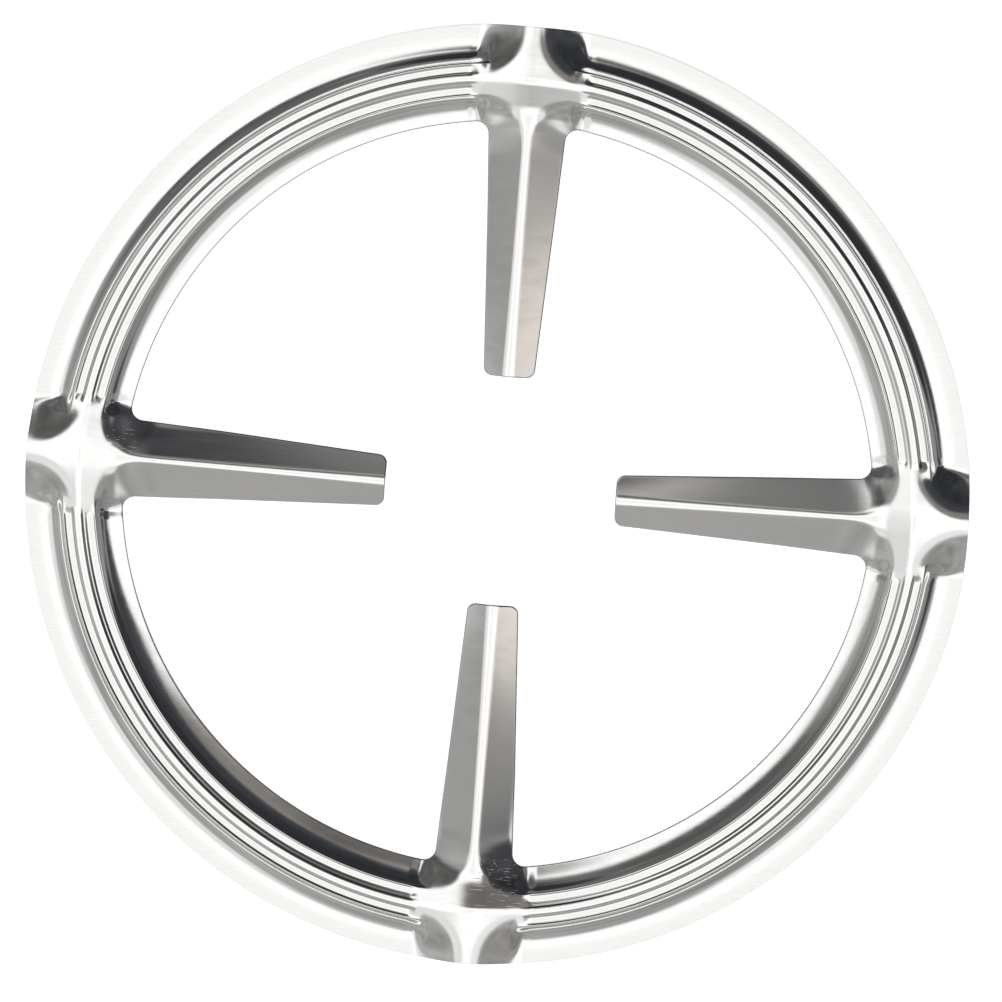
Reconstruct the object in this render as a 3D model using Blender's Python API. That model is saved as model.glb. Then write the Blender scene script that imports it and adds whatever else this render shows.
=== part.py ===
"""A pot stand stamped from one sheet of stainless steel.

A beaded ring carries four arms that point at its centre. Each arm is folded
into a low ridge, and the ridge crosses the ring to its rim in a smooth knot.
Lengths are in metres, +Z is up, and the ring's flange lies on Z = 0.
"""

from math import asin, atan, atan2, cos, hypot, pi, radians, sin, sqrt, tan

import bmesh
import bpy
from mathutils import Vector

# The sheet, and the outline seen from above
SHEET = 0.0008
OUTER_DIAMETER = 0.145
ARM_COUNT = 4
TIP_OPENING = 0.0354
ARM_TIP_WIDTH = 0.0079
ARM_ROOT_WIDTH = 0.0122
TIP_CORNER_RADIUS = 0.0014
ROOT_FILLET_RADIUS = 0.0018

# Widths in the ring's section, from the crest of its rib out to each side
RIB_HALF_WIDTH = 0.00095
GROOVE_WIDTH = 0.00118
LIP_WIDTH = 0.00027
SWEEP_WIDTH = 0.0027
OUTER_FLANGE_WIDTH = 0.0032
INNER_FLANGE_WIDTH = 0.0016

# Heights of the upper face over the outer flange
RIB_HEIGHT = 0.00205
PLATEAU_HEIGHT = 0.0017
GROOVE_DEPTH = 0.00015
INNER_FOOT_HEIGHT = 0.00035
INNER_EDGE_HEIGHT = 0.0001
KNOT_HEIGHT = 0.0026
KNOT_SIDE_DROP = 0.00045
TIP_LIFT = 0.00025

# The crest line along an arm's axis: level, then up to the ring's crest, then down to the rim
CLIMB_ANGLE = radians(8.8)
CLIMB_BEND = 0.0045
CLIMB_LENGTH = 0.0057
CROWN_ROUNDING = 0.0006
RIM_ANGLE = radians(5.5)

# The arm's fold, and the wide knot that it opens into on the ring
FLANK_ROOT_ANGLE = radians(19)
FLANK_TIP_ANGLE = radians(16)
FOLD_ROUNDING = 0.0015
FOLD_HOLLOW = 0.0008
KNOT_HALF_WIDTH = 0.0088
KNOT_ROUNDING = 0.0024
KNOT_HOLLOW = 0.0020
KNOT_BAND = 0.0020
KNOT_WIDENING = 0.0107
INNER_BOWL_LENGTH = 0.0056
BOWL_SIDE_SHARE = 0.3
KNOT_BLEND = 0.0008
GROOVE_RUNOUT = 0.0010

# How finely the faces are divided
FOLD_STEPS = 2
FLANK_STEPS = 5
RIB_STEPS = 3
SWEEP_STEPS = 3
RING_STEPS = 10
FILLET_STEPS = 4
SIDE_STEPS = 4
CORNER_STEPS = 3
RING_SPACING = 1.5
WELD = 1e-6
SLOPE_PROBE = 2e-5

# Sizes that follow from those above
OUTER_RADIUS = OUTER_DIAMETER / 2
LIP_OFFSET = RIB_HALF_WIDTH + GROOVE_WIDTH + LIP_WIDTH
FOOT_OFFSET = LIP_OFFSET + SWEEP_WIDTH
CREST_RADIUS = OUTER_RADIUS - OUTER_FLANGE_WIDTH - FOOT_OFFSET
INNER_RADIUS = CREST_RADIUS - FOOT_OFFSET - INNER_FLANGE_WIDTH
TIP_RADIUS = TIP_OPENING / 2
CLIMB_END = CREST_RADIUS - CLIMB_LENGTH
CLIMB_START = CLIMB_END - CLIMB_BEND
BAND_RADIUS = CREST_RADIUS - KNOT_BAND
WIDENING_START = BAND_RADIUS - KNOT_WIDENING
SIDE_TAPER = (ARM_ROOT_WIDTH - ARM_TIP_WIDTH) / 2 / (INNER_RADIUS - TIP_RADIUS)
HALF_SECTOR = pi / ARM_COUNT


def clear_scene():
    for old in list(bpy.data.objects):
        bpy.data.objects.remove(old, do_unlink=True)


def ease(share):
    """A smooth step from 0 to 1 as the share goes from 0 to 1."""
    share = min(max(share, 0.0), 1.0)
    return share * share * (3 - 2 * share)


def swell(share):
    """A rounded fall from 1 to 0, level at both ends."""
    return (1 + cos(pi * min(share, 1.0))) / 2


def blend(start, end, share):
    return start + (end - start) * share


def bend(place, start, end):
    """The integral of a ramp that rises from 0 at start to 1 at end."""
    share = min(max((place - start) / (end - start), 0.0), 1.0)
    return (end - start) * share**2 / 2 + max(place - end, 0.0)


def flank_fall(distance, rounding, hollow, width):
    """A fall from 1 to 0 over a width: a rounded crest, a straight flank and a hollow foot."""
    drop = bend(distance, 0, rounding) - bend(distance, width - hollow, width)
    return 1 - drop / (width - rounding / 2 - hollow / 2)


def sweep_fall(share):
    """A fall from 1 to 0 that is steep under the lip and runs out in a long hollow curve."""
    return (1 - min(share, 1.0) ** 1.35) ** 1.9


def flange_height(radius):
    """The level that the ring and the arms rise from: the inner flange is a shallow cone."""
    if radius > CREST_RADIUS:
        return INNER_FOOT_HEIGHT * swell((radius - CREST_RADIUS) / LIP_OFFSET)
    share = (radius - INNER_RADIUS) / INNER_FLANGE_WIDTH
    return INNER_EDGE_HEIGHT + (INNER_FOOT_HEIGHT - INNER_EDGE_HEIGHT) * min(max(share, 0.0), 1.0)


def beaded_section(radius, groove_depth):
    """The ring's section between knots: a middle rib, two grooves, two lips and two sweeps."""
    offset = abs(radius - CREST_RADIUS)
    base = flange_height(radius)
    if offset >= LIP_OFFSET:
        return base + (PLATEAU_HEIGHT - base) * sweep_fall((offset - LIP_OFFSET) / SWEEP_WIDTH)
    lip_share = (offset - RIB_HALF_WIDTH - GROOVE_WIDTH) / LIP_WIDTH
    floor = PLATEAU_HEIGHT - groove_depth * (1 - ease(lip_share))
    return floor + (RIB_HEIGHT - floor) * swell(offset / RIB_HALF_WIDTH)


def climb(radius):
    """The height gained along the crest line, up to this radius, over the arm's level part."""
    upward = tan(CLIMB_ANGLE)
    turned = upward + tan(RIM_ANGLE)
    crown = bend(radius, CREST_RADIUS - CROWN_ROUNDING, CREST_RADIUS + CROWN_ROUNDING)
    return upward * bend(radius, CLIMB_START, CLIMB_END) - turned * crown


def ridge_height(radius):
    """The height of the arm's crest line, from the tip over the knot to the rim."""
    return KNOT_HEIGHT + climb(radius) - climb(CREST_RADIUS)


def ring_share(radius, aside):
    """How near the ring's crest a place in the knot is: 1 on it, 0 at the foot of the slope."""
    away = 1 - aside / KNOT_HALF_WIDTH
    opened = ease(away / BOWL_SIDE_SHARE)
    if radius > CREST_RADIUS:
        own = (CREST_RADIUS + FOOT_OFFSET - radius) / SWEEP_WIDTH
        bowl = (OUTER_RADIUS - radius) / (OUTER_RADIUS - CREST_RADIUS)
    else:
        own = 1 - (BAND_RADIUS - radius) / (BAND_RADIUS - CREST_RADIUS + FOOT_OFFSET)
        bowl = 1 - (BAND_RADIUS - radius) / INNER_BOWL_LENGTH
    return blend(min(max(own, 0.0), 1.0), min(max(bowl, 0.0), 1.0), opened)


def ridge_surface(radius, aside):
    """The arm and its knot: a fold that widens towards the ring, with round bowls beside the knot."""
    base = flange_height(radius)
    crest = ridge_height(radius)
    tipward = min(max((INNER_RADIUS - radius) / (INNER_RADIUS - TIP_RADIUS), 0.0), 1.0)
    flank = tan(blend(FLANK_ROOT_ANGLE, FLANK_TIP_ANGLE, tipward))
    widened = ease((radius - WIDENING_START) / KNOT_WIDENING)
    rounding = blend(FOLD_ROUNDING, KNOT_ROUNDING, widened)
    hollow = blend(FOLD_HOLLOW, KNOT_HOLLOW, widened)
    width = blend((crest - base) / flank + (rounding + hollow) / 2, KNOT_HALF_WIDTH, widened)
    nearness = hypot(ring_share(radius, aside), max(1 - aside / width, 0.0))
    shape = flank_fall((1 - min(nearness, 1.0)) * width, rounding, hollow, width)
    on_knot = ease((radius - CLIMB_END) / (BAND_RADIUS - CLIMB_END))
    drop = KNOT_SIDE_DROP * on_knot * (aside / KNOT_HALF_WIDTH) ** 2
    lift = TIP_LIFT * tipward * (aside / side_of(radius)) ** 2
    return base + (crest - drop - base) * shape + lift


def relief(x, y, groove_depth):
    """The upper face over the outer flange: beads round the ring, giving way to an arm's knot."""
    radius = hypot(x, y)
    ridge = ridge_surface(radius, y)
    if radius < INNER_RADIUS:
        return ridge
    depth = groove_depth * ease((y - KNOT_HALF_WIDTH) / GROOVE_RUNOUT)
    beaded = ease((y - KNOT_HALF_WIDTH + KNOT_BLEND) / KNOT_BLEND)
    return blend(ridge, beaded_section(radius, depth), beaded)


def upper_point(x, y):
    return Vector((x, y, SHEET + relief(x, y, GROOVE_DEPTH)))


def lower_point(x, y):
    """The lower face is one sheet's thickness under the upper one, with the grooves left out."""
    height = relief(x, y, 0)
    slope_x = (relief(x + SLOPE_PROBE, y, 0) - height) / SLOPE_PROBE
    slope_y = (relief(x, y + SLOPE_PROBE, 0) - height) / SLOPE_PROBE
    return Vector((x, y, SHEET + height - SHEET * sqrt(1 + slope_x**2 + slope_y**2)))


def spread(start, end, steps):
    """Values from start up to but not including end."""
    return [start + (end - start) * step / steps for step in range(steps)]


def side_of(x):
    """Half the arm's width at x, on its straight side."""
    return ARM_TIP_WIDTH / 2 + SIDE_TAPER * (x - TIP_RADIUS)


def fillet_centre():
    """The centre of the fillet that touches the arm's side and the ring's inner edge."""
    reach = INNER_RADIUS - ROOT_FILLET_RADIUS
    stretch = 1 + SIDE_TAPER**2
    rise = side_of(0) + ROOT_FILLET_RADIUS * sqrt(stretch)
    x = (sqrt(stretch * reach**2 - rise**2) - rise * SIDE_TAPER) / stretch
    return x, rise + SIDE_TAPER * x


FILLET_X, FILLET_Y = fillet_centre()
FILLET_ANGLE = atan2(FILLET_Y, FILLET_X)


def outline_rows():
    """For each row across the arm, its point on the outline and where it meets the crest line."""
    lean = atan(SIDE_TAPER)
    rows = []
    root_x = FILLET_X + ROOT_FILLET_RADIUS * sin(lean)
    for share in spread(0, 1, FILLET_STEPS):
        turn = FILLET_ANGLE + (lean - pi / 2 - FILLET_ANGLE) * share
        edge = (FILLET_X + ROOT_FILLET_RADIUS * cos(turn), FILLET_Y + ROOT_FILLET_RADIUS * sin(turn))
        rows.append((edge, INNER_RADIUS + (root_x - INNER_RADIUS) * share))
    corner_x = TIP_RADIUS + TIP_CORNER_RADIUS
    corner_y = side_of(corner_x) - TIP_CORNER_RADIUS / cos(lean)
    corner_start = corner_x - TIP_CORNER_RADIUS * sin(lean)
    for x in spread(root_x, corner_start, SIDE_STEPS):
        rows.append(((x, side_of(x)), x))
    for step in range(CORNER_STEPS + 1):
        share = step / CORNER_STEPS
        turn = pi / 2 + lean + (pi / 2 - lean) * share
        edge = (corner_x + TIP_CORNER_RADIUS * cos(turn), corner_y + TIP_CORNER_RADIUS * sin(turn))
        rows.append((edge, corner_start + (TIP_RADIUS - corner_start) * share))
    return rows


def across(width):
    """Distances from the crest line to a row's edge, with one where the flank's straight part starts."""
    fold = min(FOLD_ROUNDING, width / 2)
    return spread(0, fold, FOLD_STEPS) + spread(fold, width, FLANK_STEPS) + [width]


def arm_plan():
    """The arm's grid of places seen from above, row by row from the ring to the tip."""
    plan = []
    for (edge_x, edge_y), crest_x in outline_rows():
        plan.append([(crest_x + (edge_x - crest_x) * (y / edge_y) ** 2, y) for y in across(edge_y)])
    plan[0] = [(sqrt(INNER_RADIUS**2 - y**2), y) for _, y in plan[0]]
    return plan


def ring_angles():
    """The ring's radial lines: those of the arm's root first, then wider and wider ones."""
    root = INNER_RADIUS * sin(FILLET_ANGLE)
    angles = [asin(y / INNER_RADIUS) for y in across(root)]
    for step in range(1, RING_STEPS + 1):
        angles.append(FILLET_ANGLE + (HALF_SECTOR - FILLET_ANGLE) * (step / RING_STEPS) ** RING_SPACING)
    return angles


def ring_radii(offsets):
    """Radii for these distances from the rib's crest, on both sides of it, between the two edges."""
    inner = [CREST_RADIUS - offset for offset in reversed(offsets)]
    outer = [CREST_RADIUS + offset for offset in offsets[1:]]
    flange = OUTER_RADIUS - OUTER_FLANGE_WIDTH / 2
    return [INNER_RADIUS] + inner + outer + [flange, OUTER_RADIUS]


def upper_radii():
    groove = [RIB_HALF_WIDTH, RIB_HALF_WIDTH + GROOVE_WIDTH]
    sweep = spread(LIP_OFFSET, FOOT_OFFSET, SWEEP_STEPS)
    return ring_radii(spread(0, RIB_HALF_WIDTH, RIB_STEPS) + groove + sweep + [FOOT_OFFSET])


def lower_radii():
    rib = spread(0, RIB_HALF_WIDTH, 2) + [RIB_HALF_WIDTH]
    return ring_radii(rib + spread(LIP_OFFSET, FOOT_OFFSET, SWEEP_STEPS) + [FOOT_OFFSET])


def ring_plan(radii):
    return [[(radius * cos(angle), radius * sin(angle)) for radius in radii] for angle in ring_angles()]


def add_face(mesh, plan, point_at):
    """A face of the sheet over a plan grid."""
    rows = [[mesh.verts.new(point_at(x, y)) for x, y in row] for row in plan]
    for near, far in zip(rows, rows[1:]):
        for corners in zip(near, near[1:], far[1:], far):
            mesh.faces.new(corners)


def add_edge(mesh, line):
    """The cut edge of the sheet along a line seen from above."""
    add_face(mesh, [line], upper_point)
    upper = [mesh.verts.new(upper_point(x, y)) for x, y in line]
    lower = [mesh.verts.new(lower_point(x, y)) for x, y in line]
    for corners in zip(upper, upper[1:], lower[1:], lower):
        mesh.faces.new(corners)


def half_sector():
    """The sheet from an arm's axis to halfway to the next arm."""
    mesh = bmesh.new()
    arm = arm_plan()
    upper_ring = ring_plan(upper_radii())
    lower_ring = ring_plan(lower_radii())
    add_face(mesh, arm, upper_point)
    add_face(mesh, arm, lower_point)
    add_face(mesh, upper_ring, upper_point)
    add_face(mesh, lower_ring, lower_point)
    root_line = len(arm[0]) - 1
    add_edge(mesh, [row[-1] for row in upper_ring])
    add_edge(mesh, [row[0] for row in upper_ring[root_line:]])
    add_edge(mesh, [row[-1] for row in arm])
    add_edge(mesh, arm[-1])
    return mesh


def whole_sheet():
    """Mirrors the half sector across the arm's axis and turns copies of it round the ring."""
    mesh = half_sector()
    bmesh.ops.mirror(mesh, geom=mesh.verts[:] + mesh.edges[:] + mesh.faces[:], axis="Y", merge_dist=WELD)
    bmesh.ops.spin(
        mesh,
        geom=mesh.verts[:] + mesh.edges[:] + mesh.faces[:],
        axis=(0, 0, 1),
        cent=(0, 0, 0),
        angle=2 * pi * (1 - 1 / ARM_COUNT),
        steps=ARM_COUNT - 1,
        use_duplicate=True,
    )
    bmesh.ops.remove_doubles(mesh, verts=mesh.verts[:], dist=WELD)
    bmesh.ops.recalc_face_normals(mesh, faces=mesh.faces[:])
    return mesh


def stainless_steel():
    material = bpy.data.materials.new("stainless_steel")
    material.use_nodes = True
    shader = material.node_tree.nodes["Principled BSDF"]
    shader.inputs["Base Color"].default_value = (0.78, 0.77, 0.75, 1)
    shader.inputs["Metallic"].default_value = 1.0
    shader.inputs["Roughness"].default_value = 0.2
    return material


def make_pot_stand():
    sheet = whole_sheet()
    data = bpy.data.meshes.new("pot_stand")
    sheet.to_mesh(data)
    sheet.free()
    data.shade_smooth()
    data.set_sharp_from_angle(angle=radians(40))
    data.materials.append(stainless_steel())
    stand = bpy.data.objects.new("pot_stand", data)
    bpy.context.scene.collection.objects.link(stand)
    return stand


clear_scene()
make_pot_stand()
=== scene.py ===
from math import atan, atan2, cos, pi, radians, sin, sqrt, tan

import bmesh
import bpy
import numpy as np
from mathutils import Matrix, Vector


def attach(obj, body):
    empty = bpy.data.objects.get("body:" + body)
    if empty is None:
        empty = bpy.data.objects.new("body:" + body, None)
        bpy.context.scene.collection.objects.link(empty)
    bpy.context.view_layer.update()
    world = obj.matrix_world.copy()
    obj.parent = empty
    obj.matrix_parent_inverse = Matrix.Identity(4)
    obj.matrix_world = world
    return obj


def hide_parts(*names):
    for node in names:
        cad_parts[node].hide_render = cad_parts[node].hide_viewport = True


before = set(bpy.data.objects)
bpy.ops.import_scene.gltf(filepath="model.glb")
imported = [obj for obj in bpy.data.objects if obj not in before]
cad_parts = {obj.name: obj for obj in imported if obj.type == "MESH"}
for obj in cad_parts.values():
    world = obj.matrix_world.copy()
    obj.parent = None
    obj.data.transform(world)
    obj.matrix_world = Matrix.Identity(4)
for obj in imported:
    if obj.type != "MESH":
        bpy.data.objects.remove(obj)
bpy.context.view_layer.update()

NODE = "pot_stand"
MM = 0.001

# Outline seen from above, in millimetres
OUTER = 72.5
INNER = 57.5
TIP = 17.7
TIP_HALF = 3.95
ROOT_HALF = 6.1
TIP_CORNER = 1.4
ROOT_FILLET = 1.8

# The sheet's thickness, and the rounding of its cut edges inside and at the rim
SHEET = 0.8
EDGE_ROUND = 0.22
RIM_ROUND = 0.04

# Where each arm's tip is, and which way the arm runs in degrees: the arms are stamped a little off the
# ring's centre. A knot turns as a whole within KNOT_HOLD of its arm, and from SHIFT_START inwards the arm
# moves over to its own place within SHIFT_RUN.
ARM_TIPS = [(18.15, 0.75), (0.42, 18.31), (-17.14, 0.83), (0.74, -16.8)]
ARM_TURNS = [0.85, 90.03, 179.67, 270.1]
KNOT_RADIUS = 64.0
SHIFT_START = 57.0
SHIFT_RUN = 14.0
KNOT_HOLD = radians(12)

# The ring's section: radii, then heights over the outer flange
RIB_RADIUS = 64.4
RIB_HALF = 0.95
RIB_FLAT = 0.46
OUTER_FLOOR_END = 66.1
OUTER_LIP = 66.65
INNER_FLOOR_END = 62.05
INNER_LIP = 61.75
RIB_TOP = 1.92
RIB_CROWN = 0.03
PLATEAU = 1.7
GROOVE_DEPTH = 0.15
GROOVE_HALF = 0.42
GROOVE_WALL = 0.5
GROOVE_OUT = 65.73
GROOVE_IN = 62.5
GROOVE_END = 0.4

# Each sweep adds a steep fall and a long tail: how steep each starts at the lip, and its reach
OUTER_STEEP = (1.2, 0.85)
OUTER_TAIL = (0.12, 1.6)
INNER_STEEP = (1.2, 0.75)
INNER_TAIL = (0.35, 1.6)
OUTER_SWEEP = 3.0
INNER_SWEEP = 2.7

# The flanges: the outer one's foot, then the inner one's edge and foot, each where it slopes least and
# where it slopes most
FOOT_LEVEL = 0.35
FOOT_RUN = 2.4
EDGE_LEVEL = (0.27, 0.12)
INNER_FOOT_LEVEL = (0.4, 0.56)
INNER_FOOT_RADIUS = 60.5

# How near the inner flange is to its steepest, from 0 to 1, by the azimuth in degrees
STEEP_AZIMUTHS = [0, 90, 190, 206, 258, 285, 335, 352, 360]
STEEP_SHARES = [0.0, 0.0, 0.1, 1.0, 1.0, 0.9, 0.9, 0.3, 0.0]

# The arms and the knots
ARM_LEVEL = 0.02
CROWN_RADIUS = 64.1
CROWN_ROUNDING = 0.6
KNOT_TOP = 2.595
RIM_SLOPE = 5.5
SIDE_DROP = 0.72
SIDE_SOFT = 2.5
CLIMB_SLOPE = 10.0
CLIMB_START = 58.0
CLIMB_END = 60.4
ARM_FALL = 0.25
FOLD_ROUNDING = (0.75, 1.05)
FOLD_HOLLOW = 0.8
KNOT_ROUNDING = (2.4, 3.3)
KNOT_ROUNDING_RUN = 3.0
KNOT_HOLLOW = 2.0
KNOT_HALF = 8.8
KNOT_BLEND = 2.2
BAND_END = 62.2
BOWL_REACH = 6.0
SIDE_SHARE = 0.3
POWER_OUT = 2.0
POWER_IN = 2.2
WIDEN_START = 52.5
WIDEN_END = 61.0
DROP_START = 56.0
DROP_END = 59.5
RAMP_START = 54.0
RAMP_END = 61.0

# Each arm's two flanks, first the one on the side of the next arm: the slope in degrees at the root and
# at the tip, and how much the edge curls up at the tip
FLANKS = [
    ((16.8, 13.8, 0.15), (18.0, 16.0, 0.05)),
    ((18.0, 16.0, 0.05), (16.5, 14.6, 0.1)),
    ((18.0, 16.0, 0.05), (18.8, 17.0, 0.08)),
    ((19.5, 14.6, 0.1), (18.0, 16.0, 0.05)),
]

# How the mesh is divided, then the small steps that it is worked out with: millimetres, radians and, to
# merge points, metres
FILLET_POINTS = 15
SIDE_POINTS = 43
CORNER_POINTS = 13
FLANK_POINTS = 23
FLANK_POWER = 1.35
NEAR_ANGLE = radians(11)
NEAR_POINTS = 19
FAR_POINTS = 25
TOP_CORNER_TURNS = (0, 30, 60, 90)
BOTTOM_CORNER_TURNS = (90, 45, 0)
SLOPE_STEP = 0.03
ANGLE_SLACK = 1e-9
MERGE_DISTANCE = 2e-6

# The steel's grain, in millimetres across and along the rolling direction, with the noise's detail
FINE_GRAIN = (0.12, 2.5, 3.0)
BROAD_GRAIN = (1.4, 9.0, 2.0)
SCRATCHES = (0.16, 4.5, 0.0)
NOISE_RANGE = (0.3, 0.7)
SCRATCH_RANGE = (0.7, 0.76)
STEEL_DARK = (0.9, 0.896, 0.886, 1)
STEEL_LIGHT = (0.955, 0.952, 0.945, 1)
STEEL_ROUGHNESS = (0.1, 0.145)
SCRATCH_ROUGHNESS = 0.6
GRAIN_STRENGTH = 0.25
GRAIN_HEIGHT = 0.005

# Where handling has scratched the sheet: the middle and the reach of each spot
SCRATCHED = [((-58.0, 3.6, 2.0), 3.0), ((4.9, -60.1, 2.4), 5.0)]
SCRATCHED_CORE = 0.5

# The studio: tint and strength of the surroundings, then patches by tilt from straight up, azimuth in the
# photograph, the angle that each fills, the angle past which nothing of it is left, tint and strength
GREY = (1.0, 0.99, 0.975)
WHITE = (1.0, 1.0, 0.995)
WARM = (1.0, 0.93, 0.87)
COOL = (0.92, 0.97, 1.1)
SURROUNDINGS = (GREY, 0.37)
PATCHES = [
    (70, 330, 15, 55, GREY, 0.23),
    (60, 128, 18, 45, GREY, 0.13),
    (0, 0, 21, 28, WHITE, 1.12),
    (8, 242, 3, 7, GREY, 0.975),
    (30, 226, 6, 10, WHITE, 0.8),
    (27, 195, 5, 9, WHITE, 0.8),
    (27, 298, 5, 9, WHITE, 0.85),
    (37, 262, 10, 13, GREY, 0.37),
    (42, 85, 20, 26, GREY, 0.17),
    (52, 80, 23.5, 27.5, COOL, 0.03),
    (60, 45, 32, 38, COOL, 0.03),
    (26, 38, 6, 10, COOL, 0.04),
    (27, 62, 6, 10, COOL, 0.04),
    (47, 343, 9, 14, COOL, 0.05),
    (28, 8, 8, 12, COOL, 0.05),
    (33, 138, 8, 13, GREY, 0.09),
    (24.5, 340, 2.5, 5.5, WARM, 0.82),
    (13, 97, 3, 8.5, WARM, 0.12),
    (14, 66, 3, 8.5, WARM, 0.12),
    (16, 36, 4, 7, WARM, 0.17),
]

# Uneven light in the studio, as a share of its strength, which fades from its dark to its bright parts
CLUTTER = 0.4
CLUTTER_SCALE = 7.0
CLUTTER_DETAIL = 3.0
CLUTTER_FADE = (0.2, 1.0)

# The floor: half its width in metres, its colour and how bright it shows
FLOOR_HALF = 6.0
FLOOR_COLOUR = (0.9, 0.9, 0.9, 1)
FLOOR_WHITE = 0.765

# The camera: angles in degrees, distance in metres, and the ring's width and centre in the photograph
CAMERA_TILT = 7.8
CAMERA_AZIMUTH = 62.0
CAMERA_DISTANCE = 4.0
IMAGE_TURN = radians(4.4)
IMAGE_PX = 1002.0
RING_WIDTH_PX = 946.7
CENTRE_PX = (497.1, 494.7)
SENSOR_MM = 36.0

# The Mix node's sockets, of which it has a set for each kind of data
COLOUR_A = 6
COLOUR_B = 7
COLOUR_RESULT = 2
VALUE_A = 2
VALUE_B = 3
VALUE_RESULT = 0

TAPER = (ROOT_HALF - TIP_HALF) / (INNER - TIP)


# The relief

def ease(share):
    share = np.clip(share, 0, 1)
    return share * share * (3 - 2 * share)


def swell(share):
    return (1 + np.cos(np.pi * np.clip(share, 0, 1))) / 2


def blend(low, high, share):
    return low + (high - low) * share


def bend(place, start, end):
    """How far a line has risen that turns from level to one in one between start and end."""
    share = np.clip((place - start) / (end - start), 0, 1)
    return (end - start) * share * share / 2 + np.maximum(place - end, 0)


def flank_fall(place, rounding, hollow, width):
    """From 0 at the crest to 1 at width: a rounded top, a straight flank and a hollow foot."""
    top = np.clip(place / rounding, 0, 1)
    foot = np.clip((place - width + hollow) / hollow, 0, 1)
    drop = rounding * top * top / 2 + np.maximum(place - rounding, 0)
    drop = drop - hollow * foot * foot / 2 - np.maximum(place - width, 0)
    return drop / (width - rounding / 2 - hollow / 2)


def arm_frame(x, y):
    """Which arm each point belongs to, and its signed distance from that arm's crest line."""
    nearest = np.mod(np.round(np.degrees(np.arctan2(y, x)) / 90), 4).astype(int)
    across = np.zeros(np.shape(x))
    for arm in range(4):
        turn = radians(ARM_TURNS[arm])
        tip_x, tip_y = ARM_TIPS[arm]
        here = (y - tip_y) * cos(turn) - (x - tip_x) * sin(turn)
        across = np.where(nearest == arm, here, across)
    return nearest, across


def sweep_share(out, steep, tail):
    """1 at the lip and less with the distance out from it: steep at first, then a long shallow tail."""
    left = steep[0] * steep[1] * np.exp(-out / steep[1]) + tail[0] * tail[1] * np.exp(-out / tail[1])
    return left / (steep[0] * steep[1] + tail[0] * tail[1])


def base_level(radius, steep):
    """The flanges without the beads: level outside the rib, falling towards the middle inside it."""
    edge = blend(EDGE_LEVEL[0], EDGE_LEVEL[1], steep)
    foot = blend(INNER_FOOT_LEVEL[0], INNER_FOOT_LEVEL[1], steep)
    inner = blend(edge, foot, np.clip((radius - INNER) / (INNER_FOOT_RADIUS - INNER), 0, 1))
    outer = FOOT_LEVEL * swell((radius - RIB_RADIUS) / FOOT_RUN)
    return np.where(radius > RIB_RADIUS, outer, inner)


def groove_share(radius, aside):
    """1 on the floor of the two grooves, which end in half circles before a knot."""
    end = np.maximum(KNOT_HALF + GROOVE_END - aside, 0)
    outer = np.hypot(radius - GROOVE_OUT, end)
    inner = np.hypot(GROOVE_IN - radius, end)
    gap = np.where(radius > RIB_RADIUS, outer, inner)
    return ease((GROOVE_HALF + GROOVE_WALL - gap) / GROOVE_WALL)


def beaded(radius, aside, flange, depth):
    """The ring's section between the knots."""
    outside = np.maximum(radius - OUTER_LIP, INNER_LIP - radius)
    away = np.maximum(outside, 0)
    share = np.where(
        radius > RIB_RADIUS,
        sweep_share(away, OUTER_STEEP, OUTER_TAIL),
        sweep_share(away, INNER_STEEP, INNER_TAIL),
    )
    sweep = flange + (PLATEAU - flange) * share
    floor = PLATEAU - depth * groove_share(radius, aside)
    off = np.abs(radius - RIB_RADIUS)
    crown = RIB_TOP - RIB_CROWN * (off / RIB_FLAT) ** 2
    top = blend(crown, floor, ease((off - RIB_FLAT) / (RIB_HALF - RIB_FLAT)))
    return np.where(outside > 0, sweep, top)


def ridge_line(radius):
    """How a crest climbs towards the ring's crown and falls from it to the rim, up to a constant."""
    climb = tan(radians(CLIMB_SLOPE))
    turn = climb + tan(radians(RIM_SLOPE))
    crown = bend(radius, CROWN_RADIUS - CROWN_ROUNDING, CROWN_RADIUS + CROWN_ROUNDING)
    return climb * bend(radius, CLIMB_START, CLIMB_END) - turn * crown


def ridge_height(radius):
    """The height of an arm's crest, from its tip to the rim."""
    along = np.clip((CLIMB_START - radius) / (CLIMB_START - TIP), 0, 1)
    return KNOT_TOP + ridge_line(radius) - ridge_line(np.float64(CROWN_RADIUS)) - ARM_FALL * along


def ring_share(radius, aside):
    """How much of the knot's height is left, going away from the ring's crown."""
    along = ease(np.clip(1 - aside / KNOT_HALF, 0, 1) / SIDE_SHARE)
    outer_fan = np.clip(1 - (radius - CROWN_RADIUS) / (OUTER - CROWN_RADIUS), 0, 1)
    outer_side = sweep_share(np.maximum(radius - OUTER_LIP, 0), OUTER_STEEP, OUTER_TAIL)
    inner_fan = np.clip(1 - (BAND_END - radius) / BOWL_REACH, 0, 1)
    inner_side = sweep_share(np.maximum(INNER_LIP - radius, 0), INNER_STEEP, INNER_TAIL)
    outer = blend(outer_side, outer_fan, along)
    inner = blend(inner_side, inner_fan, along)
    return np.where(radius > CROWN_RADIUS, outer, inner)


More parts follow.
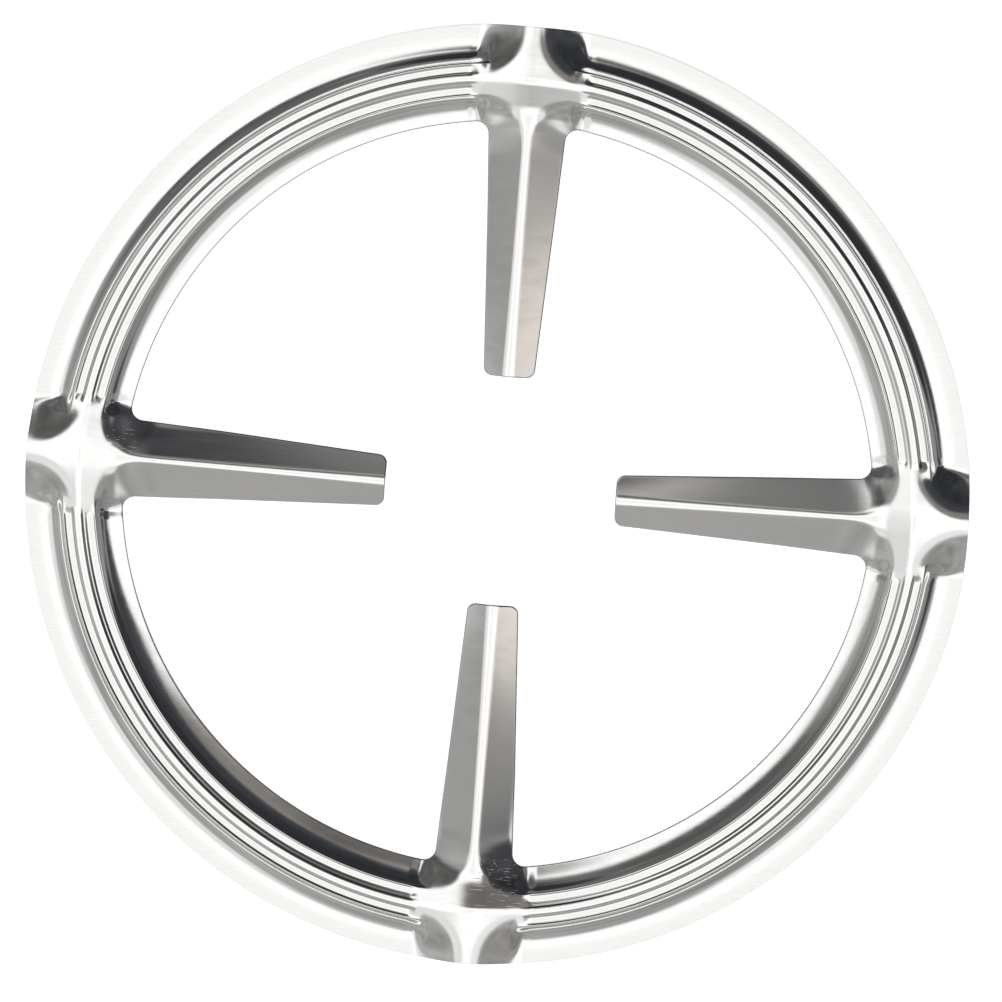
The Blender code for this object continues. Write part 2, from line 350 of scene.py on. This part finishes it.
def ridged(radius, arm, across, flange):
    """The arms and the knots."""
    aside = np.abs(across)
    ramp = ease((radius - RAMP_START) / (RAMP_END - RAMP_START))
    base = blend(ARM_LEVEL, flange, np.where(radius > RIB_RADIUS, 1, ramp))
    side = (np.hypot(aside, SIDE_SOFT) - SIDE_SOFT) / (np.hypot(KNOT_HALF, SIDE_SOFT) - SIDE_SOFT)
    dropping = ease((radius - DROP_START) / (DROP_END - DROP_START))
    crest = ridge_height(radius) - SIDE_DROP * side * dropping
    share = np.clip((INNER - radius) / (INNER - TIP), 0, 1)
    flank = np.array(FLANKS)[arm, np.where(across > 0, 0, 1)]
    slope = np.tan(np.radians(blend(flank[..., 0], flank[..., 1], share)))
    widening = ease((radius - WIDEN_START) / (WIDEN_END - WIDEN_START))
    fold = blend(FOLD_ROUNDING[0], FOLD_ROUNDING[1], share**2)
    outward = ease((radius - CROWN_RADIUS) / KNOT_ROUNDING_RUN)
    knot = blend(KNOT_ROUNDING[0], KNOT_ROUNDING[1], outward)
    rounding = blend(fold, knot, widening**2)
    hollow = blend(FOLD_HOLLOW, KNOT_HOLLOW, widening)
    flank_width = (ridge_height(radius) - base) / slope + rounding / 2 + hollow / 2
    width = blend(flank_width, KNOT_HALF, widening)
    power = np.where(radius > CROWN_RADIUS, POWER_OUT, POWER_IN)
    both = ring_share(radius, aside) ** power + np.clip(1 - aside / width, 0, 1) ** power
    away = 1 - np.minimum(both ** (1 / power), 1)
    left = 1 - flank_fall(away * width, rounding, hollow, width)
    half = blend(ROOT_HALF, TIP_HALF, share)
    return base + (crest - base) * left + flank[..., 2] * share**2 * (aside / half) ** 2


def relief(x, y, groove=GROOVE_DEPTH):
    """Height of the upper face over the outer flange, for arrays of x and y in millimetres."""
    radius = np.hypot(x, y)
    arm, across = arm_frame(x, y)
    aside = np.abs(across)
    azimuth = np.degrees(np.arctan2(y, x)) % 360
    flange = base_level(radius, np.interp(azimuth, STEEP_AZIMUTHS, STEEP_SHARES))
    between = ease((aside - KNOT_HALF + KNOT_BLEND / 2) / KNOT_BLEND) * (radius > INNER)
    return blend(ridged(radius, arm, across, flange), beaded(radius, aside, flange, groove), between)


def upper(x, y):
    return SHEET + relief(x, y)


def lower(x, y):
    """The lower face, a sheet's thickness below the upper one and without the grooves."""
    height = relief(x, y, 0)
    slope_x = (relief(x + SLOPE_STEP, y, 0) - relief(x - SLOPE_STEP, y, 0)) / (2 * SLOPE_STEP)
    slope_y = (relief(x, y + SLOPE_STEP, 0) - relief(x, y - SLOPE_STEP, 0)) / (2 * SLOPE_STEP)
    return np.maximum(SHEET + height - SHEET * np.sqrt(1 + slope_x**2 + slope_y**2), 0)


# The mesh: a ring grid and four arm grids for each face, joined by rounded edges

def arm_outline(inset):
    """Half the outline of an arm along +X, moved into the sheet by inset, and where its fillet starts.

    Each point has x, y and its part: 0 to 1 on the fillet, to 2 on the side, to 3 on the tip's corner.
    """
    lean = atan(TAPER)
    reach = INNER - ROOT_FILLET
    stretch = 1 + TAPER**2
    rise = TIP_HALF - TAPER * TIP + ROOT_FILLET * sqrt(stretch)
    fillet_x = (sqrt(stretch * reach**2 - rise**2) - rise * TAPER) / stretch
    fillet_y = rise + TAPER * fillet_x
    start = atan2(fillet_y, fillet_x)
    fillet = ROOT_FILLET + inset
    points = []
    for share in np.linspace(0, 1, FILLET_POINTS)[:-1]:
        turn = start + (lean - pi / 2 - start) * share
        points.append((fillet_x + fillet * cos(turn), fillet_y + fillet * sin(turn), share))
    corner_x = TIP + TIP_CORNER
    corner_y = TIP_HALF + TAPER * (corner_x - TIP) - TIP_CORNER / cos(lean)
    corner = TIP_CORNER - inset
    root_x = fillet_x + fillet * cos(lean - pi / 2)
    root_y = fillet_y + fillet * sin(lean - pi / 2)
    end_x = corner_x + corner * cos(pi / 2 + lean)
    end_y = corner_y + corner * sin(pi / 2 + lean)
    for share in np.linspace(0, 1, SIDE_POINTS)[:-1]:
        points.append((root_x + (end_x - root_x) * share, root_y + (end_y - root_y) * share, 1 + share))
    for share in np.linspace(0, 1, CORNER_POINTS):
        turn = pi / 2 + lean + (pi / 2 - lean) * share
        points.append((corner_x + corner * cos(turn), corner_y + corner * sin(turn), 2 + share))
    return np.array(points), start


def arm_plan(inset, across):
    """Rows of x and y over an arm that lies along +X, from the ring to the tip."""
    points, _ = arm_outline(inset)
    edge_x, edge_y, part = points.T
    root_x = edge_x[part >= 1][0]
    corner_x = edge_x[part >= 2][0]
    crest_x = np.where(part < 1, (INNER + inset) + (root_x - INNER - inset) * part, edge_x)
    crest_x = np.where(part >= 2, corner_x + (TIP + inset - corner_x) * (part - 2), crest_x)
    share = across[None, :]
    y = edge_y[:, None] * share
    x = crest_x[:, None] + (edge_x - crest_x)[:, None] * share**2
    x[0] = np.sqrt((INNER + inset) ** 2 - y[0] ** 2)
    return x, y


CREST_SHARES = np.linspace(0, 1, FLANK_POINTS) ** FLANK_POWER
ACROSS = np.concatenate([-CREST_SHARES[:0:-1], CREST_SHARES])
ROOT_ANGLE = arm_outline(EDGE_ROUND)[1]


def ring_angles():
    """Azimuths all round the ring, denser near the knots."""
    _, y = arm_plan(EDGE_ROUND, ACROSS)
    root = np.arcsin(y[0] / (INNER + EDGE_ROUND))
    near = np.linspace(ROOT_ANGLE, NEAR_ANGLE, NEAR_POINTS)
    far = np.linspace(NEAR_ANGLE, pi / 4, FAR_POINTS)
    side = np.concatenate([near, far[1:]])[1:]
    sector = np.concatenate([-side[::-1], root, side])[1:]
    return np.concatenate([sector + pi / 2 * quarter for quarter in range(4)])


def spaced(marks):
    """Radii from mark to mark, each with its start, end and number of steps."""
    parts = [np.linspace(low, high, steps + 1)[:-1] for low, high, steps in marks]
    return np.concatenate(parts + [[marks[-1][1]]])


UPPER_RADII = spaced([
    (INNER + EDGE_ROUND, INNER_LIP - INNER_SWEEP, 6),
    (INNER_LIP - INNER_SWEEP, INNER_LIP, 15),
    (INNER_LIP, INNER_FLOOR_END, 3),
    (INNER_FLOOR_END, RIB_RADIUS - RIB_HALF, 7),
    (RIB_RADIUS - RIB_HALF, RIB_RADIUS - RIB_FLAT, 5),
    (RIB_RADIUS - RIB_FLAT, RIB_RADIUS + RIB_FLAT, 5),
    (RIB_RADIUS + RIB_FLAT, RIB_RADIUS + RIB_HALF, 5),
    (RIB_RADIUS + RIB_HALF, OUTER_FLOOR_END, 4),
    (OUTER_FLOOR_END, OUTER_LIP, 4),
    (OUTER_LIP, OUTER_LIP + OUTER_SWEEP, 16),
    (OUTER_LIP + OUTER_SWEEP, OUTER - 2 * RIM_ROUND, 7),
    (OUTER - 2 * RIM_ROUND, OUTER - RIM_ROUND, 1),
])
LOWER_RADII = spaced([
    (INNER + EDGE_ROUND, INNER_LIP - INNER_SWEEP, 3),
    (INNER_LIP - INNER_SWEEP, RIB_RADIUS - RIB_HALF, 11),
    (RIB_RADIUS - RIB_HALF, RIB_RADIUS + RIB_HALF, 8),
    (RIB_RADIUS + RIB_HALF, OUTER_LIP + OUTER_SWEEP, 11),
    (OUTER_LIP + OUTER_SWEEP, OUTER - RIM_ROUND, 3),
])


def knot_turn(arm):
    """How far an arm's knot is turned round the ring from its quarter, in radians."""
    turn = radians(ARM_TURNS[arm])
    reach = KNOT_RADIUS - TIP
    x = ARM_TIPS[arm][0] + reach * cos(turn)
    y = ARM_TIPS[arm][1] + reach * sin(turn)
    return (atan2(y, x) - arm * pi / 2 + pi) % (2 * pi) - pi


KNOT_TURNS = [knot_turn(arm) for arm in range(4)]


def from_arm(angles):
    """How far each azimuth is from that of the nearest arm, in radians."""
    return np.mod(angles + pi / 4, pi / 2) - pi / 4


def shifted(angles):
    """The ring's azimuths with the knots turned into place."""
    quarters = np.arange(-1, 6) * pi / 2
    turns = [KNOT_TURNS[arm % 4] for arm in range(-1, 6)]
    offset = from_arm(angles)
    centre = angles - offset
    own = np.interp(centre, quarters, turns)
    other = np.interp(centre + np.sign(offset) * pi / 2, quarters, turns)
    away = ease((np.abs(offset) - KNOT_HOLD) / (pi / 2 - 2 * KNOT_HOLD))
    return angles + blend(own, other, away)


def placed(x, y, arm):
    """Points of an arm along +X, moved to where that arm lies."""
    turn = arm * pi / 2 + KNOT_TURNS[arm]
    ring_x = x * cos(turn) - y * sin(turn)
    ring_y = x * sin(turn) + y * cos(turn)
    turn = radians(ARM_TURNS[arm])
    arm_x = ARM_TIPS[arm][0] + (x - TIP) * cos(turn) - y * sin(turn)
    arm_y = ARM_TIPS[arm][1] + (x - TIP) * sin(turn) + y * cos(turn)
    share = ease((SHIFT_START - np.hypot(x, y)) / SHIFT_RUN)
    return blend(ring_x, arm_x, share), blend(ring_y, arm_y, share)


class Grids:
    """Collects grids of points and their quads."""

    def __init__(self):
        self.points = []
        self.quads = []
        self.count = 0

    def grid(self, x, y, z, flip=False, closed=False):
        rows, columns = x.shape
        index = self.count + np.arange(rows * columns).reshape(rows, columns)
        if closed:
            index = np.concatenate([index, index[:1]])
        near, far = index[:-1], index[1:]
        quads = np.stack([near[:, :-1], near[:, 1:], far[:, 1:], far[:, :-1]], -1).reshape(-1, 4)
        self.quads.append(quads[:, ::-1] if flip else quads)
        self.points.append(np.stack([x, y, z], -1).reshape(-1, 3))
        self.count += rows * columns

    def edge(self, flat, rows, flip):
        """A strip down a cut edge: plan points for each row, with the rows' heights."""
        x = np.stack([point[0] for point in flat], 1)
        y = np.stack([point[1] for point in flat], 1)
        self.grid(x, y, np.stack([z for _, z in rows], 1), flip=flip)


def edge_rows(top, bottom, corner=EDGE_ROUND):
    """Insets from the edge and heights, down a cut edge with rounded corners."""
    rows = []
    for turn in np.radians(TOP_CORNER_TURNS):
        rows.append((corner * (1 - sin(turn)), top - corner * (1 - cos(turn))))
    for turn in np.radians(BOTTOM_CORNER_TURNS):
        rows.append((corner * (1 - sin(turn)), bottom + corner * (1 - cos(turn))))
    return rows


def ring_edge(radius, corner, side, angles):
    """Points down a cut edge of the ring: side is 1 at the rim and -1 at the inner edge."""
    line_x = radius * np.cos(angles)
    line_y = radius * np.sin(angles)
    rows = edge_rows(upper(line_x, line_y), lower(line_x, line_y), corner)
    reach = np.array([radius + side * (corner - inset) for inset, _ in rows])
    x = reach[None, :] * np.cos(angles[:, None])
    y = reach[None, :] * np.sin(angles[:, None])
    return x, y, np.stack([z for _, z in rows], 1)


def add_ring(grids):
    plain = ring_angles()
    angles = shifted(plain)
    for radii, height, flip in ((UPPER_RADII, upper, True), (LOWER_RADII, lower, False)):
        x = radii[None, :] * np.cos(angles[:, None])
        y = radii[None, :] * np.sin(angles[:, None])
        grids.grid(x, y, height(x, y), flip=flip, closed=True)
    x, y, z = ring_edge(OUTER - RIM_ROUND, RIM_ROUND, 1, angles)
    grids.grid(x, y, z, flip=True, closed=True)
    # The inner edge shows only between the arms' roots
    x, y, z = ring_edge(INNER + EDGE_ROUND, EDGE_ROUND, -1, angles)
    around = np.mod(plain, 2 * pi)
    free = np.abs(from_arm(plain)) >= ROOT_ANGLE - ANGLE_SLACK
    for quarter in range(4):
        here = np.nonzero(free & (np.floor(around / (pi / 2)) == quarter))[0]
        order = here[np.argsort(around[here])]
        grids.grid(x[order], y[order], z[order])


def add_arms(grids):
    plan_x, plan_y = arm_plan(EDGE_ROUND, ACROSS)
    insets = [inset for inset, _ in edge_rows(0, 0)]
    outlines = {inset: arm_outline(inset)[0] for inset in insets}
    for arm in range(4):
        x, y = placed(plan_x, plan_y, arm)
        grids.grid(x, y, upper(x, y))
        grids.grid(x, y, lower(x, y), flip=True)
        for side in (1, -1):
            sides = {inset: (line[:, 0], side * line[:, 1]) for inset, line in outlines.items()}
            flat = [placed(*sides[inset], arm) for inset in insets]
            line_x, line_y = placed(*sides[EDGE_ROUND], arm)
            rows = edge_rows(upper(line_x, line_y), lower(line_x, line_y))
            grids.edge(flat, rows, flip=side < 0)
        flat = [placed(plan_x[-1] - (EDGE_ROUND - inset), plan_y[-1], arm) for inset in insets]
        rows = edge_rows(upper(x[-1], y[-1]), lower(x[-1], y[-1]))
        grids.edge(flat, rows, flip=True)


def make_stand():
    grids = Grids()
    add_ring(grids)
    add_arms(grids)
    points = np.concatenate(grids.points) * MM
    quads = np.concatenate(grids.quads)
    data = bpy.data.meshes.new("stand_sheet")
    data.from_pydata(points.tolist(), [], quads.tolist())
    mesh = bmesh.new()
    mesh.from_mesh(data)
    bmesh.ops.remove_doubles(mesh, verts=mesh.verts[:], dist=MERGE_DISTANCE)
    bmesh.ops.recalc_face_normals(mesh, faces=mesh.faces[:])
    mesh.to_mesh(data)
    mesh.free()
    data.shade_smooth()
    stand = bpy.data.objects.new("stand_sheet", data)
    bpy.context.scene.collection.objects.link(stand)
    return stand


# Shader nodes

def node(tree, kind, **settings):
    made = tree.nodes.new(kind)
    for name, value in settings.items():
        setattr(made, name, value)
    return made


def spread(tree, value, source, target):
    """Maps the range source to the range target, each given by its two ends."""
    made = node(tree, "ShaderNodeMapRange")
    tree.links.new(value, made.inputs["Value"])
    made.inputs["From Min"].default_value = source[0]
    made.inputs["From Max"].default_value = source[1]
    made.inputs["To Min"].default_value = target[0]
    made.inputs["To Max"].default_value = target[1]
    return made.outputs["Result"]


def combined(tree, operation, first, second):
    made = node(tree, "ShaderNodeMath", operation=operation)
    tree.links.new(first, made.inputs[0])
    tree.links.new(second, made.inputs[1])
    return made.outputs["Value"]


def grain(tree, coordinate, across, along, detail):
    """Noise in millimetres, drawn out along the sheet's rolling direction, which is X."""
    mapping = node(tree, "ShaderNodeMapping")
    tree.links.new(coordinate.outputs["Object"], mapping.inputs["Vector"])
    mapping.inputs["Scale"].default_value = (1000 / along, 1000 / across, 1000 / across)
    noise = node(tree, "ShaderNodeTexNoise")
    tree.links.new(mapping.outputs["Vector"], noise.inputs["Vector"])
    noise.inputs["Scale"].default_value = 1.0
    noise.inputs["Detail"].default_value = detail
    return noise.outputs["Fac"]


# The steel

def worn_places(tree, coordinate):
    """1 in the middle of each scratched spot, and 0 away from them."""
    worn = None
    for place, reach in SCRATCHED:
        apart = node(tree, "ShaderNodeVectorMath", operation="DISTANCE")
        tree.links.new(coordinate.outputs["Object"], apart.inputs[0])
        apart.inputs[1].default_value = [value * MM for value in place]
        fade = (SCRATCHED_CORE * reach * MM, reach * MM)
        near = spread(tree, apart.outputs["Value"], fade, (1.0, 0.0))
        worn = combined(tree, "MAXIMUM", worn, near) if worn else near
    return worn


def steel_material():
    material = bpy.data.materials.new("brushed_steel")
    material.use_nodes = True
    tree = material.node_tree
    shader = tree.nodes["Principled BSDF"]
    coordinate = node(tree, "ShaderNodeTexCoord")
    fine = grain(tree, coordinate, *FINE_GRAIN)
    broad = grain(tree, coordinate, *BROAD_GRAIN)
    shader.inputs["Metallic"].default_value = 1.0
    tone = node(tree, "ShaderNodeMix", data_type="RGBA")
    tree.links.new(spread(tree, fine, NOISE_RANGE, (0.0, 1.0)), tone.inputs["Factor"])
    tone.inputs[COLOUR_A].default_value = STEEL_DARK
    tone.inputs[COLOUR_B].default_value = STEEL_LIGHT
    tree.links.new(tone.outputs[COLOUR_RESULT], shader.inputs["Base Color"])
    worn = worn_places(tree, coordinate)
    marks = spread(tree, grain(tree, coordinate, *SCRATCHES), SCRATCH_RANGE, (0.0, 1.0))
    scratched = combined(tree, "MULTIPLY", marks, worn)
    rough = node(tree, "ShaderNodeMix", data_type="FLOAT")
    tree.links.new(scratched, rough.inputs["Factor"])
    tree.links.new(spread(tree, broad, NOISE_RANGE, STEEL_ROUGHNESS), rough.inputs[VALUE_A])
    rough.inputs[VALUE_B].default_value = SCRATCH_ROUGHNESS
    tree.links.new(rough.outputs[VALUE_RESULT], shader.inputs["Roughness"])
    bump = node(tree, "ShaderNodeBump")
    bump.inputs["Strength"].default_value = GRAIN_STRENGTH
    bump.inputs["Distance"].default_value = GRAIN_HEIGHT * MM
    tree.links.new(fine, bump.inputs["Height"])
    tree.links.new(bump.outputs["Normal"], shader.inputs["Normal"])
    return material


# The floor

def floor_material():
    """A pale floor that shows white, also in the metal, and keeps the object's soft shadow."""
    material = bpy.data.materials.new("pale_floor")
    material.use_nodes = True
    tree = material.node_tree
    tree.nodes.clear()
    diffuse = node(tree, "ShaderNodeBsdfDiffuse")
    diffuse.inputs["Color"].default_value = FLOOR_COLOUR
    path = node(tree, "ShaderNodeLightPath")
    seen = path.outputs["Is Camera Ray"]
    for ray in ("Is Glossy Ray", "Is Transmission Ray"):
        seen = combined(tree, "MAXIMUM", seen, path.outputs[ray])
    glow = node(tree, "ShaderNodeEmission")
    tree.links.new(spread(tree, seen, (0.0, 1.0), (0.0, FLOOR_WHITE)), glow.inputs["Strength"])
    both = node(tree, "ShaderNodeAddShader")
    tree.links.new(diffuse.outputs[0], both.inputs[0])
    tree.links.new(glow.outputs[0], both.inputs[1])
    output = node(tree, "ShaderNodeOutputMaterial")
    tree.links.new(both.outputs[0], output.inputs["Surface"])
    return material


def make_floor():
    data = bpy.data.meshes.new("floor")
    corners = [(-1, -1, 0), (1, -1, 0), (1, 1, 0), (-1, 1, 0)]
    points = [(FLOOR_HALF * x, FLOOR_HALF * y, z) for x, y, z in corners]
    data.from_pydata(points, [], [(0, 1, 2, 3)])
    floor = bpy.data.objects.new("floor", data)
    bpy.context.scene.collection.objects.link(floor)
    floor.data.materials.append(floor_material())


# The studio and the camera

def direction(tilt, azimuth):
    """Unit vector tilted from straight up towards an azimuth of the photograph, both in degrees."""
    turn = radians(azimuth) + IMAGE_TURN
    return Vector((sin(radians(tilt)) * cos(turn), sin(radians(tilt)) * sin(turn), cos(radians(tilt))))


def patch_share(tree, coordinate, tilt, azimuth, inside, outside):
    """1 in a round patch of the world, fading to 0 from the angle inside to the angle outside."""
    dot = node(tree, "ShaderNodeVectorMath", operation="DOT_PRODUCT")
    tree.links.new(coordinate.outputs["Generated"], dot.inputs[0])
    dot.inputs[1].default_value = direction(tilt, azimuth)
    fade = node(tree, "ShaderNodeMapRange", interpolation_type="SMOOTHSTEP")
    tree.links.new(dot.outputs["Value"], fade.inputs["Value"])
    fade.inputs["From Min"].default_value = cos(radians(outside))
    fade.inputs["From Max"].default_value = cos(radians(inside))
    return fade.outputs["Result"]


def colour(tint, strength):
    return [channel * strength for channel in tint] + [1]


def make_world():
    world = bpy.data.worlds.new("studio")
    bpy.context.scene.world = world
    world.use_nodes = True
    tree = world.node_tree
    tree.nodes.clear()
    coordinate = node(tree, "ShaderNodeTexCoord")
    light = None
    for tilt, azimuth, inside, outside, tint, strength in PATCHES:
        share = patch_share(tree, coordinate, tilt, azimuth, inside, outside)
        mix = node(tree, "ShaderNodeMix", data_type="RGBA")
        tree.links.new(share, mix.inputs["Factor"])
        mix.inputs[COLOUR_A].default_value = colour(*SURROUNDINGS)
        mix.inputs[COLOUR_B].default_value = colour(tint, strength)
        if light:
            tree.links.new(light, mix.inputs[COLOUR_A])
        light = mix.outputs[COLOUR_RESULT]
    clutter = node(tree, "ShaderNodeTexNoise")
    tree.links.new(coordinate.outputs["Generated"], clutter.inputs["Vector"])
    clutter.inputs["Scale"].default_value = CLUTTER_SCALE
    clutter.inputs["Detail"].default_value = CLUTTER_DETAIL
    change = spread(tree, clutter.outputs["Fac"], NOISE_RANGE, (-CLUTTER, CLUTTER))
    dark = spread(tree, light, CLUTTER_FADE, (1.0, 0.0))
    power = node(tree, "ShaderNodeMath", operation="MULTIPLY_ADD")
    tree.links.new(change, power.inputs[0])
    tree.links.new(dark, power.inputs[1])
    power.inputs[2].default_value = 1.0
    background = node(tree, "ShaderNodeBackground")
    tree.links.new(light, background.inputs["Color"])
    tree.links.new(power.outputs[0], background.inputs["Strength"])
    output = node(tree, "ShaderNodeOutputWorld")
    tree.links.new(background.outputs[0], output.inputs["Surface"])


def make_camera():
    data = bpy.data.cameras.new("camera")
    camera = bpy.data.objects.new("camera", data)
    bpy.context.scene.collection.objects.link(camera)
    toward = direction(CAMERA_TILT, CAMERA_AZIMUTH)
    up_hint = direction(90, 90)
    right = up_hint.cross(toward).normalized()
    up = toward.cross(right)
    frame_width = 2 * OUTER * MM * IMAGE_PX / RING_WIDTH_PX
    data.sensor_width = SENSOR_MM
    data.lens = SENSOR_MM * CAMERA_DISTANCE / frame_width
    scale = 2 * OUTER * MM / RING_WIDTH_PX
    shift_x = (IMAGE_PX / 2 - CENTRE_PX[0]) * scale
    shift_y = (CENTRE_PX[1] - IMAGE_PX / 2) * scale
    target = Vector((0, 0, SHEET * MM)) + right * shift_x + up * shift_y
    place = target + toward * CAMERA_DISTANCE
    camera.matrix_world = Matrix((
        (right.x, up.x, toward.x, place.x),
        (right.y, up.y, toward.y, place.y),
        (right.z, up.z, toward.z, place.z),
        (0, 0, 0, 1),
    ))
    bpy.context.scene.camera = camera


stand = make_stand()
stand.data.materials.append(steel_material())
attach(stand, "root")
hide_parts(NODE)
make_world()
make_floor()
make_camera()
bpy.context.scene.view_settings.view_transform = "Standard"
